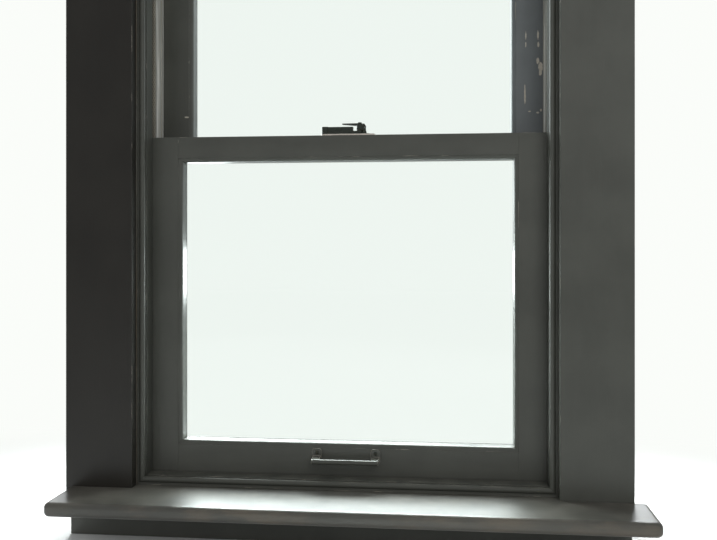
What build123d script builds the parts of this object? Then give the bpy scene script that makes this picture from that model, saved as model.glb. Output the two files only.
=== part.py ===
"""Timber box sash window: two sliding sashes on cords and weights, in their frame, with the inner board.

Millimetres. +Z is up, +Y points outdoors and -Y into the room.
The origin is the middle of the sill's underside.
"""

import math
import os

from build123d import *

# Opening and sashes
opening_width = 550.0
sash_height = 472.0
sash_thick = 38.0
stile_width = 51.0
top_rail_height = 51.0
bottom_rail_height = 61.0
meeting_rail_height = 34.0
upper_meeting_rail_height = 28.0
side_clearance = 1.5
track_clearance = 1.0
seat_clearance = 0.3

# Glazing
mould_width = 5.5
mould_step = 1.0
mould_depth = 7.0
glass_setback = 20.0
glass_thick = 3.0
glass_edge_gap = 1.5
rebate_width = 8.5
putty_toe = 1.0

# Joints in the sashes
tenon_thick = 12.0
tenon_length = 26.0
tenon_inset = 6.0
tenon_clearance = 0.2
bevel_slope = 0.15
bevel_gap = 0.6
lip_clearance = 1.5

# Frame
pulley_stile_thick = 20.0
lining_width = 90.0
inner_lining_thick = 15.0
outer_lining_thick = 19.0
outer_stop = 14.0
head_lining_height = 45.0
head_thick = 22.0
back_lining_thick = 9.0
housing_depth = 8.0
divider_thick = 5.0
divider_side_gap = 4.0
divider_foot = 150.0
divider_above_head = 10.0
slot_clearance = 0.3

# Beads
staff_depth = 31.0
staff_cover = 11.0
staff_round = 4.0
staff_quirk_width = 2.2
staff_quirk_depth = 2.0
staff_front_quirk = 2.5
parting_thick = 8.0
parting_proud = 10.5
parting_groove = 8.0

# Sill and inner board
sill_height = 60.0
sill_nose = 30.0
sill_slope_deg = 8.0
sill_arris = 3.0
stile_foot = 34.0
drip_width = 6.0
drip_depth = 5.0
drip_inset = 12.0
board_step = 8.0
board_thick = 18.0
board_projection = 75.0
board_past_left_lining = -4.0
board_past_right_lining = 17.0
board_nose = 6.5
board_end_round = 7.0
tongue_thick = 6.0
tongue_length = 8.0
tongue_clearance = 0.2

# Pockets for the weights
pocket_height = 350.0
pocket_foot = 70.0
pocket_edge = 2.0
pocket_gap = 0.3

# Cords, pulleys and weights
cord_diameter = 6.0
cord_stand_off = 6.0
pitch_radius = 22.5
flange_proud = 3.0
wheel_width = 10.0
wheel_web = 4.0
wheel_hub_radius = 8.0
wheel_rim_depth = 3.5
axle_radius = 3.0
axle_clearance = 0.1
groove_clearance = 0.2
pulley_drop = 100.0
case_gap = 1.2
case_wall = 2.5
case_cheek_radius = 22.0
face_plate_width = 24.0
face_plate_height = 105.0
face_plate_thick = 2.5
case_slot_height = 60.0
sash_groove_width = 14.0
sash_groove_depth = 12.0
knot_radius = 5.5
knot_below_axle = 30.0
knot_pocket_radius = 7.0
knot_pocket_depth = 4.0
travel_short_of_sash = 110.0
weight_radius = 15.0
weight_round = 4.0
weight_below_axle = 82.0
weight_above_sill = 9.6
lower_weight_shorter = 20.0
weight_bore_radius = 3.6
weight_bore_depth = 26.0
cord_in_weight = 22.0

# Sash fastener, on the meeting rails
furniture_offset = 2.0
fastener_length = 73.0
fastener_width = 24.0
fastener_plate = 4.0
fastener_corner = 4.0
fastener_back = 29.0
bar_length = 42.5
bar_width = 10.0
bar_top = 14.6
bar_chamfer = 1.5
block_length = 9.0
block_width = 13.0
block_corner = 2.5
screw_inset = 6.0
saddle_width = 8.0
saddle_top = 9.0
pivot_from_end = 21.5
boss_radius = 4.2
boss_top = 10.2
pin_radius = 2.0
pin_clearance = 0.05
pin_head_radius = 2.8
pin_head_height = 1.0
lever_gap = 0.4
lever_top = 19.3
lever_width = 8.0
hub_radius = 4.4
hub_round = 1.6
nose_length = 24.0
nose_root = 3.4
nose_tip = 1.4
nose_tip_width = 4.0
handle_reach = 9.5
handle_tail = 17.0
tail_thick = 1.2
keeper_length = 12.0
keeper_corner = 3.0
keeper_plate = 2.5
keeper_wall = 3.0
keeper_depth = 10.5
keeper_edge = 0.6
keeper_gap = 0.5
keeper_roof = 2.0

# Sash lift, on the bottom rail
lift_length = 91.0
lift_foot_width = 13.0
lift_foot_height = 19.5
lift_foot_thick = 3.0
lift_foot_corner = 4.0
lift_below_arris = 0.5
lift_reach = 22.0
lift_bar_radius = 3.2
lift_bar_drop = 14.0
lift_arm_width = 10.0
lift_arm_root = 1.0
lift_arm_toe = 2.0
screw_head_radius = 3.4
screw_head_depth = 2.0
screw_shank_radius = 1.6
screw_length = 16.0

# Planes across the depth, from the room outwards
track = sash_thick + 2 * track_clearance
box_depth = staff_depth + 2 * track + parting_thick
sill_depth = box_depth + outer_lining_thick + sill_nose
y_in = -sill_depth / 2
y_front = y_in - inner_lining_thick
y_staff = y_in + staff_depth
y_lower = y_staff + track_clearance
y_lower_back = y_lower + sash_thick
y_part = y_lower_back + track_clearance
y_part_back = y_part + parting_thick
y_upper = y_part_back + track_clearance
y_out = y_upper + sash_thick + track_clearance
y_outer_face = y_out + outer_lining_thick
y_nose = sill_depth / 2
y_middle = (y_part + y_part_back) / 2
y_board = y_front - board_projection

# Planes across the height
z_flat = sill_height
z_board = z_flat + board_step
z_board_under = z_board - board_thick
z_low = z_flat + seat_clearance
z_meet = z_low + sash_height
z_meet_under = z_meet - meeting_rail_height
z_upper_under = z_meet - upper_meeting_rail_height
z_meet_middle = (z_meet + z_meet_under) / 2
z_top = z_meet_under + sash_height
z_head = z_top + seat_clearance
z_head_top = z_head + head_thick
z_frame_top = z_head + head_lining_height
z_axle = z_head - pulley_drop
sash_travel = sash_height - travel_short_of_sash
fall = math.tan(math.radians(sill_slope_deg))

# Planes across the width, right-hand side
x_face = opening_width / 2
x_edge = x_face - side_clearance
x_sight = x_edge - stile_width
x_arris = x_sight + mould_width
x_lip = x_face - parting_proud - lip_clearance
x_box = x_face + pulley_stile_thick
x_jamb = x_face + lining_width
x_back = x_jamb - back_lining_thick
x_cord = x_face - cord_stand_off
x_axle = x_cord + pitch_radius
x_weight = x_axle + pitch_radius
flange_radius = pitch_radius + flange_proud

parts = {}


def block(x0, x1, y0, y1, z0, z1):
    """A square-cut piece between pairs of planes."""
    corner = (Align.MIN, Align.MIN, Align.MIN)
    return Pos(x0, y0, z0) * Box(x1 - x0, y1 - y0, z1 - z0, align=corner)


def outline(*edges):
    """A face inside a closed run of points, or of edges."""
    if isinstance(edges[0], tuple):
        return make_face(Polyline(*edges, close=True))
    return make_face(Curve() + list(edges))


def along_x(face, x0, x1):
    """A section drawn as (y, z), run from x0 to x1."""
    return extrude(Plane.YZ.offset(x0) * face, x1 - x0)


def along_y(face, y0, y1):
    """A section drawn as (x, z), run from y0 to y1."""
    return extrude(Plane.XZ.offset(-y0) * face, y0 - y1)


def along_z(face, z0, z1):
    """A section drawn as (x, y), run from z0 to z1."""
    return extrude(Plane.XY.offset(z0) * face, z1 - z0)


def rod_y(x, z, radius, y0, y1):
    return Pos(x, (y0 + y1) / 2, z) * Rot(90, 0, 0) * Cylinder(radius, y1 - y0)


def rod_z(x, y, radius, z0, z1):
    return Pos(x, y, (z0 + z1) / 2) * Cylinder(radius, z1 - z0)


def grown(x0, x1, y0, y1, z0, z1, by):
    return block(x0 - by, x1 + by, y0 - by, y1 + by, z0 - by, z1 + by)


def pair(name, right):
    """Keeps a right-hand piece and its mirror image."""
    parts[name + "_right"] = right
    parts[name + "_left"] = mirror(right, about=Plane.YZ)


def sill_top(y):
    """Height of the sill's upper side, flat at the bead and falling outdoors."""
    return z_flat - max(0.0, y - y_staff) * fall


# Sill and inner board


def make_sill():
    section = outline(
        (y_in, 0),
        (y_nose - drip_inset - drip_width, 0),
        (y_nose - drip_inset - drip_width, drip_depth),
        (y_nose - drip_inset, drip_depth),
        (y_nose - drip_inset, 0),
        (y_nose, 0),
        (y_nose, sill_top(y_nose)),
        (y_staff, z_flat),
        (y_in, z_flat),
    )
    sill = along_x(section, -x_jamb, x_jamb)
    nose = sill.edges().filter_by(Axis.X).group_by(Axis.Y)[-1].sort_by(Axis.Z)[-1]
    sill = fillet(nose, sill_arris)
    for side in (-1, 1):
        middle = side * (x_face + pulley_stile_thick / 2)
        half = pulley_stile_thick / 2
        sill -= block(middle - half, middle + half, y_in, y_out, stile_foot, z_flat + 1)
    z_tongue = z_flat - tongue_thick - tongue_clearance
    groove = tongue_length + tongue_clearance
    rise = tongue_thick / 2
    return sill - block(-x_face, x_face, y_in, y_in + groove, z_tongue - rise, z_tongue + rise)


def make_board():
    """Inner board: horns in front of the linings, and a neck between them tongued to the sill."""
    x0 = -x_jamb - board_past_left_lining
    x1 = x_jamb + board_past_right_lining
    board = block(x0, x1, y_board, y_front, z_board_under, z_board)
    board = fillet(board.edges().filter_by(Axis.Z).group_by(Axis.Y)[0], board_end_round)
    front = board.edges().filter_by(GeomType.CIRCLE) + board.edges().filter_by(Axis.X).group_by(Axis.Y)[0]
    board = fillet(front, board_nose)
    board += block(-x_face, x_face, y_front, y_in, z_board_under, z_board)
    z_tongue = z_flat - tongue_thick - tongue_clearance
    rise = tongue_thick / 2 - tongue_clearance
    x_tongue = x_face - tongue_clearance
    y_tongue = y_in + tongue_length
    return board + block(-x_tongue, x_tongue, y_in, y_tongue, z_tongue - rise, z_tongue + rise)


# Box frame


def pulley_middles():
    """Across-depth middles of the lower and upper tracks."""
    return {"lower": y_lower + sash_thick / 2, "upper": y_upper + sash_thick / 2}


def make_pulley_stile():
    stile = block(x_face, x_box, y_in, y_out, stile_foot, z_head + housing_depth)
    z_end = z_head + housing_depth
    stile -= block(x_face, x_face + parting_groove, y_part, y_part_back, stile_foot, z_end)
    for y in pulley_middles().values():
        half = face_plate_width / 2
        rise = face_plate_height / 2
        stile -= block(x_face, x_face + face_plate_thick, y - half, y + half, z_axle - rise, z_axle + rise)
        half = wheel_width / 2 + case_gap + case_wall
        rise = case_slot_height / 2
        stile -= block(x_face, x_box, y - half, y + half, z_axle - rise, z_axle + rise)
    return stile - pocket(0)


def pocket(gap):
    """The cover of the hole that the weights go in by, with ends cut on the slant."""
    z0 = z_low + pocket_foot + gap
    z1 = z_low + pocket_foot + pocket_height - gap
    slant = pulley_stile_thick
    ends = outline((x_face, z0), (x_box, z0 + slant), (x_box, z1), (x_face, z1 - slant))
    return along_y(ends, y_lower + pocket_edge + gap, y_lower_back - pocket_edge - gap)


def make_head():
    head = block(-x_back, x_back, y_in, y_out, z_head, z_head_top)
    head -= block(-x_box, x_box, y_part, y_part_back, z_head, z_head + parting_groove)
    for side in (-1, 1):
        middle = side * (x_face + pulley_stile_thick / 2)
        half = pulley_stile_thick / 2
        head -= block(middle - half, middle + half, y_in, y_out, z_head, z_head + housing_depth)
        middle = side * (x_box + x_back) / 2
        half = (x_back - x_box) / 2 - divider_side_gap + slot_clearance
        thick = divider_thick / 2 + slot_clearance
        head -= block(middle - half, middle + half, y_middle - thick, y_middle + thick, z_head, z_head_top)
    return head


def staff_section(across, foot=0.0):
    """Section of the staff bead: a round at the corner between two sunk quirks.

    across(a, b) places a point a inwards from the jamb and b from the sash side towards the room.
    """
    a_round = staff_cover - staff_round
    b_round = staff_depth - staff_round
    a_side = staff_cover - staff_quirk_depth
    b_side = b_round - math.sqrt(staff_round**2 - (a_side - a_round) ** 2)
    b_front = staff_depth - staff_front_quirk
    a_front = a_round - math.sqrt(staff_round**2 - (b_front - b_round) ** 2)
    b_flat = b_side - staff_quirk_width
    corner = staff_round * math.sqrt(0.5)
    run = [(0, 0), (staff_cover, 0), (staff_cover, b_flat), (a_side, b_flat), (a_side, b_side)]
    back = [(a_front, b_front), (0, b_front)]
    if foot:
        run[0] = (-foot, 0)
        back += [(0, staff_depth), (-foot, staff_depth)]
    lines = [Line(across(*p), across(*q)) for p, q in zip(run, run[1:])]
    middle = across(a_round + corner, b_round + corner)
    bulge = ThreePointArc(across(a_side, b_side), middle, across(*back[0]))
    lines += [bulge] + [Line(across(*p), across(*q)) for p, q in zip(back, back[1:] + run[:1])]
    return outline(*lines)


def make_staff_beads():
    low, high = z_board, z_head
    inner = x_face - staff_cover
    side = along_z(staff_section(lambda a, b: (x_face - a, y_staff - b)), low, high)
    mitres = outline((x_face, low), (x_face, high), (inner, high - staff_cover), (inner, low + staff_cover))
    side &= along_y(mitres, y_in, y_staff)
    pair("staff_bead", side)
    head = along_x(staff_section(lambda a, b: (y_staff - b, high - a)), -x_face, x_face)
    parts["staff_bead_head"] = head & along_y(
        outline((-x_face, high), (x_face, high), (inner, high - staff_cover), (-inner, high - staff_cover)),
        y_in,
        y_staff,
    )
    foot = along_x(staff_section(lambda a, b: (y_staff - b, low + a), board_step), -x_face, x_face)
    parts["staff_bead_bottom"] = foot & along_y(
        outline(
            (-x_face, z_flat),
            (x_face, z_flat),
            (x_face, low),
            (inner, low + staff_cover),
            (-inner, low + staff_cover),
            (-x_face, low),
        ),
        y_in,
        y_staff,
    )


def make_frame():
    sill = make_sill()
    parts["sill"] = sill
    parts["window_board"] = make_board()
    pair("pulley_stile", make_pulley_stile())
    pair("pocket_piece", pocket(pocket_gap))
    pair("inner_lining", block(x_face, x_jamb, y_front, y_in, z_board_under, z_frame_top))
    parts["inner_lining_head"] = block(-x_face, x_face, y_front, y_in, z_head, z_frame_top)
    x_stop = x_face - outer_stop
    pair("outer_lining", block(x_stop, x_jamb, y_out, y_outer_face, 0, z_frame_top) - sill - below_sill())
    parts["outer_lining_head"] = block(-x_stop, x_stop, y_out, y_outer_face, z_head - outer_stop, z_frame_top)
    pair("back_lining", block(x_back, x_jamb, y_in, y_out, 0, z_frame_top) - sill - below_sill())
    side = block(
        x_box + divider_side_gap,
        x_back - divider_side_gap,
        y_middle - divider_thick / 2,
        y_middle + divider_thick / 2,
        divider_foot,
        z_head_top + divider_above_head,
    )
    pair("weight_divider", side)
    x_bead = x_face - parting_proud
    z_end = z_head + parting_groove
    bead = block(x_bead, x_face + parting_groove, y_part, y_part_back, stile_foot, z_end)
    pair("parting_bead", bead - sill)
    parts["parting_bead_head"] = block(
        -x_bead, x_bead, y_part, y_part_back, z_head - parting_proud, z_head + parting_groove
    )
    parts["head"] = make_head()
    make_staff_beads()


def below_sill():
    """Everything lower than the sill's falling upper side, outside its housings."""
    return along_x(
        outline((y_in, -1), (y_nose, -1), (y_nose, sill_top(y_nose)), (y_staff, z_flat), (y_in, z_flat)),
        -x_jamb - 1,
        x_jamb + 1,
    )


# Sashes


def mould_section(arris, inward, y_face, lying):
    """Section of the glazing moulding, from arris to sight line: a step, an ovolo and a square return."""

    def at(u, v):
        p = arris + inward * u
        q = y_face + v
        return (q, p) if lying else (p, q)

    half = math.sqrt(0.5)
    middle = at(
        mould_step + half * (mould_width - mould_step),
        mould_depth - half * (mould_depth - mould_step),
    )
    return outline(
        Line(at(0, mould_step), at(mould_step, mould_step)),
        ThreePointArc(at(mould_step, mould_step), middle, at(mould_width, mould_depth)),
        Line(at(mould_width, mould_depth), at(mould_width, glass_setback)),
        Line(at(mould_width, glass_setback), at(0, glass_setback)),
        Line(at(0, glass_setback), at(0, mould_step)),
    )


def stile_strip(y_face, low, high, low_width, high_width):
    """Moulding on a stile, mitred into the rails' own or, against a plain rail, cut square."""
    z0, z1 = low - low_width, high + high_width
    long = along_z(mould_section(x_arris, -1, y_face, False), z0, z1)
    mitres = outline((x_arris, z0), (x_sight, low), (x_sight, high), (x_arris, z1))
    return long & along_y(mitres, y_face, y_face + sash_thick)


def rail_strip(y_face, arris, inward):
    """Moulding on a rail, mitred into the stiles' own."""
    long = along_x(mould_section(arris, inward, y_face, True), -x_arris, x_arris)
    sight = arris + inward * mould_width
    mitres = outline((-x_arris, arris), (x_arris, arris), (x_sight, sight), (-x_sight, sight))
    return long & along_y(mitres, y_face, y_face + sash_thick)


def rebate(y_face, low, high):
    reach = x_sight + rebate_width
    return block(
        -reach, reach, y_face + glass_setback, y_face + sash_thick, low - rebate_width, high + rebate_width
    )


def glass_pane(y_face, low, high):
    edge = rebate_width - glass_edge_gap
    y0 = y_face + glass_setback
    return block(-x_sight - edge, x_sight + edge, y0, y0 + glass_thick, low - edge, high + edge)


def putty_runs(y_face, low, high):
    """Four bevelled runs of putty behind the glass, mitred at the corners."""
    y0 = y_face + glass_setback + glass_thick
    y1 = y_face + sash_thick

    def section(wall, inward, lying):
        points = [(0, y0), (rebate_width, y0), (rebate_width, y0 + putty_toe), (0, y1)]
        placed = [(wall + inward * w, y) for w, y in points]
        return outline(*[(y, p) if lying else (p, y) for p, y in placed])

    x_wall, z_wall, z_roof = x_sight + rebate_width, low - rebate_width, high + rebate_width
    side = along_z(section(x_wall, -1, False), z_wall, z_roof)
    side &= along_y(outline((x_wall, z_wall), (x_sight, low), (x_sight, high), (x_wall, z_roof)), y0, y1)
    runs = [side, mirror(side, about=Plane.YZ)]
    for wall, inward, sight in ((z_wall, 1, low), (z_roof, -1, high)):
        run = along_x(section(wall, inward, True), -x_wall, x_wall)
        mitres = outline((-x_wall, wall), (x_wall, wall), (x_sight, sight), (-x_sight, sight))
        runs.append(run & along_y(mitres, y0, y1))
    return Compound(runs)


def tenon_box(y_face, z0, z1):
    """The right-hand tenon of a rail whose square part lies between z0 and z1."""
    y0 = y_face + (sash_thick - tenon_thick) / 2
    return (x_arris, x_arris + tenon_length, y0, y0 + tenon_thick, z0 + tenon_inset, z1 - tenon_inset)


def with_tenons(rail, y_face, z0, z1):
    right = block(*tenon_box(y_face, z0, z1))
    return rail + right + mirror(right, about=Plane.YZ)


def cord_groove(y_face, z_knot, z_end):
    """Groove down the stile's edge for the cord and wheel, with the pocket for the knot."""
    y = y_face + sash_thick / 2
    half = sash_groove_width / 2
    x0 = x_edge - sash_groove_depth
    depth = sash_groove_depth + knot_pocket_depth
    hole = Pos(x_edge - depth / 2, y, z_knot) * Rot(0, 90, 0) * Cylinder(knot_pocket_radius, depth)
    return block(x0, x_edge, y - half, y + half, z_knot, z_end) + hole


def bevel(z):
    """Depth of the slanting meeting plane between the two meeting rails."""
    return y_middle + (z - z_meet_middle) * bevel_slope


def make_lower_sash():
    low, high = z_low + bottom_rail_height, z_meet - meeting_rail_height
    arris_low, arris_high = low - mould_width, high + mould_width
    drop = sash_thick * fall
    cut = rebate(y_lower, low, high)

    blank = outline((y_lower, z_low), (y_lower_back, z_low - drop), (y_lower_back, z_meet), (y_lower, z_meet))
    stile = along_x(blank, x_arris, x_edge) + stile_strip(y_lower, low, high, mould_width, mould_width) - cut
    for z0, z1 in ((z_low, arris_low), (arris_high, z_meet)):
        stile -= grown(*tenon_box(y_lower, z0, z1), tenon_clearance)
    stile -= cord_groove(y_lower, z_axle - knot_below_axle - sash_travel, z_meet)
    pair("lower_stile", stile)

    back_low = (y_lower_back, z_low - drop)
    foot = outline((y_lower, z_low), back_low, (y_lower_back, arris_low), (y_lower, arris_low))
    rail = along_x(foot, -x_arris, x_arris) + rail_strip(y_lower, arris_low, 1) - cut
    parts["lower_bottom_rail"] = with_tenons(rail, y_lower, z_low, arris_low)

    rail = block(-x_arris, x_arris, y_lower, y_lower_back, arris_high, z_meet)
    rail = rail + rail_strip(y_lower, arris_high, -1) - cut
    z_lip = high + rebate_width
    lip = outline(
        (y_lower_back, z_lip),
        (bevel(z_lip) - bevel_gap / 2, z_lip),
        (bevel(z_meet) - bevel_gap / 2, z_meet),
        (y_lower_back, z_meet),
    )
    rail = with_tenons(rail + along_x(lip, -x_lip, x_lip), y_lower, arris_high, z_meet)
    parts["lower_meeting_rail"] = rail
    parts["lower_glass"] = glass_pane(y_lower, low, high)
    parts["lower_putty"] = putty_runs(y_lower, low, high)


def make_upper_sash():
    low, high = z_meet, z_top - top_rail_height
    arris_high = high + mould_width
    cut = rebate(y_upper, low, high)

    stile = block(x_arris, x_edge, y_upper, y_upper + sash_thick, z_upper_under, z_top)
    stile = stile + stile_strip(y_upper, low, high, 0, mould_width) - cut
    for z0, z1 in ((z_upper_under, z_meet - mould_width), (arris_high, z_top)):
        stile -= grown(*tenon_box(y_upper, z0, z1), tenon_clearance)
    stile -= cord_groove(y_upper, z_axle - knot_below_axle, z_top)
    pair("upper_stile", stile)

    rail = block(-x_arris, x_arris, y_upper, y_upper + sash_thick, arris_high, z_top)
    rail = rail + rail_strip(y_upper, arris_high, -1) - cut
    parts["upper_top_rail"] = with_tenons(rail, y_upper, arris_high, z_top)

    lip = outline(
        (bevel(z_upper_under) + bevel_gap / 2, z_upper_under),
        (y_upper, z_upper_under),
        (y_upper, z_meet),
        (bevel(z_meet) + bevel_gap / 2, z_meet),
    )
    rail = block(-x_arris, x_arris, y_upper, y_upper + sash_thick, z_upper_under, z_meet) - cut
    rail = with_tenons(rail + along_x(lip, -x_lip, x_lip), y_upper, z_upper_under, z_meet - mould_width)
    parts["upper_meeting_rail"] = rail
    parts["upper_glass"] = glass_pane(y_upper, low, high)
    parts["upper_putty"] = putty_runs(y_upper, low, high)


# Cords, pulleys and weights


def make_case(y):
    """Pulley case: a face plate let into the stile, two cheeks behind it and the axle riveted across them."""
    half = face_plate_width / 2
    rise = face_plate_height / 2
    gap = wheel_width / 2 + case_gap
    x_plate = x_face + face_plate_thick
    case = block(x_face, x_plate, y - half, y + half, z_axle - rise, z_axle + rise)
    rise = case_slot_height / 2
    case -= block(x_face, x_plate, y - gap, y + gap, z_axle - rise, z_axle + rise)
    for y0, y1 in ((y - gap - case_wall, y - gap), (y + gap, y + gap + case_wall)):
        case += block(x_face, x_axle, y0, y1, z_axle - case_cheek_radius, z_axle + case_cheek_radius)
        round_end = rod_y(x_axle, z_axle, case_cheek_radius, y0, y1)
        case += round_end - block(0, x_face, y0, y1, 0, z_head)
    return case + rod_y(x_axle, z_axle, axle_radius, y - gap - case_wall, y + gap + case_wall)


def make_wheel(y):
    """Grooved pulley wheel: hub, thin web and rim, turned about the axle."""
    bore = axle_radius + axle_clearance
    half = wheel_width / 2
    web = wheel_web / 2
    groove = cord_diameter / 2 + groove_clearance
    floor = pitch_radius - groove
    rim = floor - wheel_rim_depth
    section = outline(
        Line((bore, -half), (wheel_hub_radius, -half)),
        Line((wheel_hub_radius, -half), (wheel_hub_radius, -web)),
        Line((wheel_hub_radius, -web), (rim, -web)),
        Line((rim, -web), (rim, -half)),
        Line((rim, -half), (flange_radius, -half)),
        Line((flange_radius, -half), (pitch_radius, -groove)),
        ThreePointArc((pitch_radius, -groove), (floor, 0), (pitch_radius, groove)),
        Line((pitch_radius, groove), (flange_radius, half)),
        Line((flange_radius, half), (rim, half)),
        Line((rim, half), (rim, web)),
        Line((rim, web), (wheel_hub_radius, web)),
        Line((wheel_hub_radius, web), (wheel_hub_radius, half)),
        Line((wheel_hub_radius, half), (bore, half)),
        Line((bore, half), (bore, -half)),
    )
    wheel = revolve(section, Axis.Y)
    return Pos(x_axle, y, z_axle) * wheel


def make_weight(y, z_weight, length):
    """Cast iron weight with rounded ends and a bore for the cord."""
    weight = rod_z(x_weight, y, weight_radius, z_weight - length, z_weight)
    weight = fillet(weight.edges().filter_by(GeomType.CIRCLE), weight_round)
    return weight - rod_z(x_weight, y, weight_bore_radius, z_weight - weight_bore_depth, z_weight)


def make_cord(y, z_knot, z_weight):
    """Cord from its knot in the sash, over the wheel and down into the weight."""
    radius = cord_diameter / 2
    ring = Pos(x_axle, y, z_axle) * Rot(90, 0, 0) * Torus(pitch_radius, radius)
    reach = pitch_radius + cord_diameter
    over = ring & block(
        x_axle - reach, x_axle + reach, y - cord_diameter, y + cord_diameter, z_axle, z_axle + reach
    )
    cord = over + rod_z(x_cord, y, radius, z_knot, z_axle)
    cord += rod_z(x_weight, y, radius, z_weight - cord_in_weight, z_axle)
    return cord + Pos(x_cord, y, z_knot) * Sphere(knot_radius)


def make_balance():
    knots = {"lower": z_axle - knot_below_axle - sash_travel, "upper": z_axle - knot_below_axle}
    high = z_axle - weight_below_axle
    tops = {"lower": high, "upper": high - sash_travel}
    long = tops["upper"] - z_flat - weight_above_sill
    lengths = {"lower": long - lower_weight_shorter, "upper": long}
    for name, y in pulley_middles().items():
        pair(name + "_pulley_case", make_case(y))
        pair(name + "_pulley_wheel", make_wheel(y))
        pair(name + "_weight", make_weight(y, tops[name], lengths[name]))
        pair(name + "_sash_cord", make_cord(y, knots[name], tops[name]))
        run = (z_axle - knots[name]) + math.pi * pitch_radius + (z_axle - tops[name]) + cord_in_weight
        print(name, "cord length", round(run, 1))


# Sash fastener


def make_fastener():
    x0 = furniture_offset - fastener_length / 2
    x1 = furniture_offset + fastener_length / 2
    y = y_lower + fastener_back
    x_pivot = x1 - pivot_from_end
    screws = (x0 + screw_inset, x1 - screw_inset)
    z_plate = z_meet + fastener_plate
    plan = Pos(furniture_offset, y) * RectangleRounded(fastener_length, fastener_width, fastener_corner)
    plate = along_z(plan, z_meet, z_plate)
    for x in screws:
        plate -= rod_z(x, y, screw_shank_radius, z_meet, z_plate) + countersink(x, y, z_plate)
    parts["fastener_plate"] = plate - rod_z(x_pivot, y, pin_radius, z_meet, z_plate)
    parts["fastener_body"] = make_fastener_body(x0, x_pivot, y, z_plate)
    parts["fastener_lever"] = make_lever(x_pivot, y, z_plate)
    parts["fastener_pin"] = make_pin(x_pivot, y)
    parts["fastener_keeper"] = make_keeper(x_pivot)
    return [wood_screw(x, y, z_plate) for x in screws]


def make_fastener_body(x0, x_pivot, y, z_plate):
    """Casting: a square end block, a bar, and a low saddle that runs into the pivot boss."""
    z_bar = z_meet + bar_top
    z_boss = z_meet + boss_top
    x_bar = x0 + bar_length
    bar = block(x0 + block_length / 2, x_bar, y - bar_width / 2, y + bar_width / 2, z_plate, z_bar)
    bar = chamfer(bar.faces().sort_by(Axis.Z)[-1].edges().filter_by(Axis.X), bar_chamfer)
    end = Pos(x0 + block_length / 2, y) * RectangleRounded(block_length, block_width, block_corner)
    half = saddle_width / 2
    saddle = block(x_bar - bar_chamfer, x_pivot, y - half, y + half, z_plate, z_meet + saddle_top)
    body = bar + along_z(end, z_plate, z_bar) + saddle + rod_z(x_pivot, y, boss_radius, z_plate, z_boss)
    body -= rod_z(x_pivot, y, pin_radius, z_plate, z_boss)
    return body - rod_z(x0 + screw_inset, y, screw_head_radius + slot_clearance, z_plate, z_bar)


def make_lever(x_pivot, y, z_plate):
    """Lever: a hub, a thin nose that locks under the keeper, and a thumb piece curling down to the plate."""
    z_under = z_meet + boss_top + lever_gap
    z_lever = z_meet + lever_top
    z_tail = z_plate + lever_gap
    half = lever_width / 2
    hub = rod_z(x_pivot, y, hub_radius, z_under, z_lever)
    hub = fillet(hub.edges().filter_by(GeomType.CIRCLE).sort_by(Axis.Z)[-1], hub_round)
    x_tip = x_pivot - nose_length
    plan = outline(
        (x_pivot, y - half),
        (x_pivot, y + half),
        (x_tip, y + nose_tip_width / 2),
        (x_tip, y - nose_tip_width / 2),
    )
    side = outline(
        (x_pivot, z_lever - nose_root), (x_pivot, z_lever), (x_tip, z_lever), (x_tip, z_lever - nose_tip)
    )
    nose = along_z(plan, z_lever - nose_root, z_lever) & along_y(side, y - half, y + half)
    x_heel = x_pivot + handle_reach
    x_end = x_pivot + handle_tail
    x_inner = x_pivot + boss_radius + lever_gap
    z_heel = z_tail + tail_thick
    thumb = outline(
        Line((x_pivot, z_lever), (x_pivot + hub_radius / 2, z_lever)),
        ThreePointArc(
            (x_pivot + hub_radius / 2, z_lever),
            (x_pivot + (hub_radius + handle_reach) / 2, (z_lever + z_heel) / 2 + tail_thick),
            (x_heel, z_heel),
        ),
        Line((x_heel, z_heel), (x_end, z_tail + tail_thick / 2)),
        Line((x_end, z_tail + tail_thick / 2), (x_end, z_tail)),
        Line((x_end, z_tail), (x_heel - tail_thick, z_tail)),
        Line((x_heel - tail_thick, z_tail), (x_inner, z_under)),
        Line((x_inner, z_under), (x_pivot, z_under)),
        Line((x_pivot, z_under), (x_pivot, z_lever)),
    )
    lever = hub + nose + along_y(thumb, y - half, y + half)
    return lever - rod_z(x_pivot, y, pin_radius + pin_clearance, z_under, z_lever)


def make_pin(x_pivot, y):
    z_head = z_meet + lever_top + lever_gap
    pin = rod_z(x_pivot, y, pin_radius, z_meet, z_head)
    head = rod_z(x_pivot, y, pin_head_radius, z_head, z_head + pin_head_height)
    return pin + fillet(head.edges().sort_by(Axis.Z)[-1], pin_head_height / 2)


def make_keeper(x_pivot):
    """Keeper on the upper meeting rail: a foot, a back wall and a roof over the nose."""
    y0 = bevel(z_meet) + bevel_gap / 2 + keeper_edge
    y1 = y0 + keeper_depth
    z_roof = z_meet + lever_top + keeper_gap
    z_keeper = z_roof + keeper_roof
    half = keeper_length / 2
    hook = outline(
        (y0, z_meet),
        (y1, z_meet),
        (y1, z_keeper),
        (y0, z_keeper),
        (y0, z_roof),
        (y1 - keeper_wall, z_roof),
        (y1 - keeper_wall, z_meet + keeper_plate),
        (y0, z_meet + keeper_plate),
    )
    keeper = along_x(hook, x_pivot - half, x_pivot + half)
    shoulders = keeper.edges().filter_by(Axis.Y).group_by(Axis.Z)[-1]
    return fillet(shoulders, keeper_corner)


def countersink(x, y, z):
    return Pos(x, y, z - screw_head_depth / 2) * Cone(screw_shank_radius, screw_head_radius, screw_head_depth)


def wood_screw(x, y, z):
    """Countersunk screw with its flat head at height z."""
    return countersink(x, y, z) + rod_z(x, y, screw_shank_radius, z - screw_length, z - screw_head_depth)


# Sash lift


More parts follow.
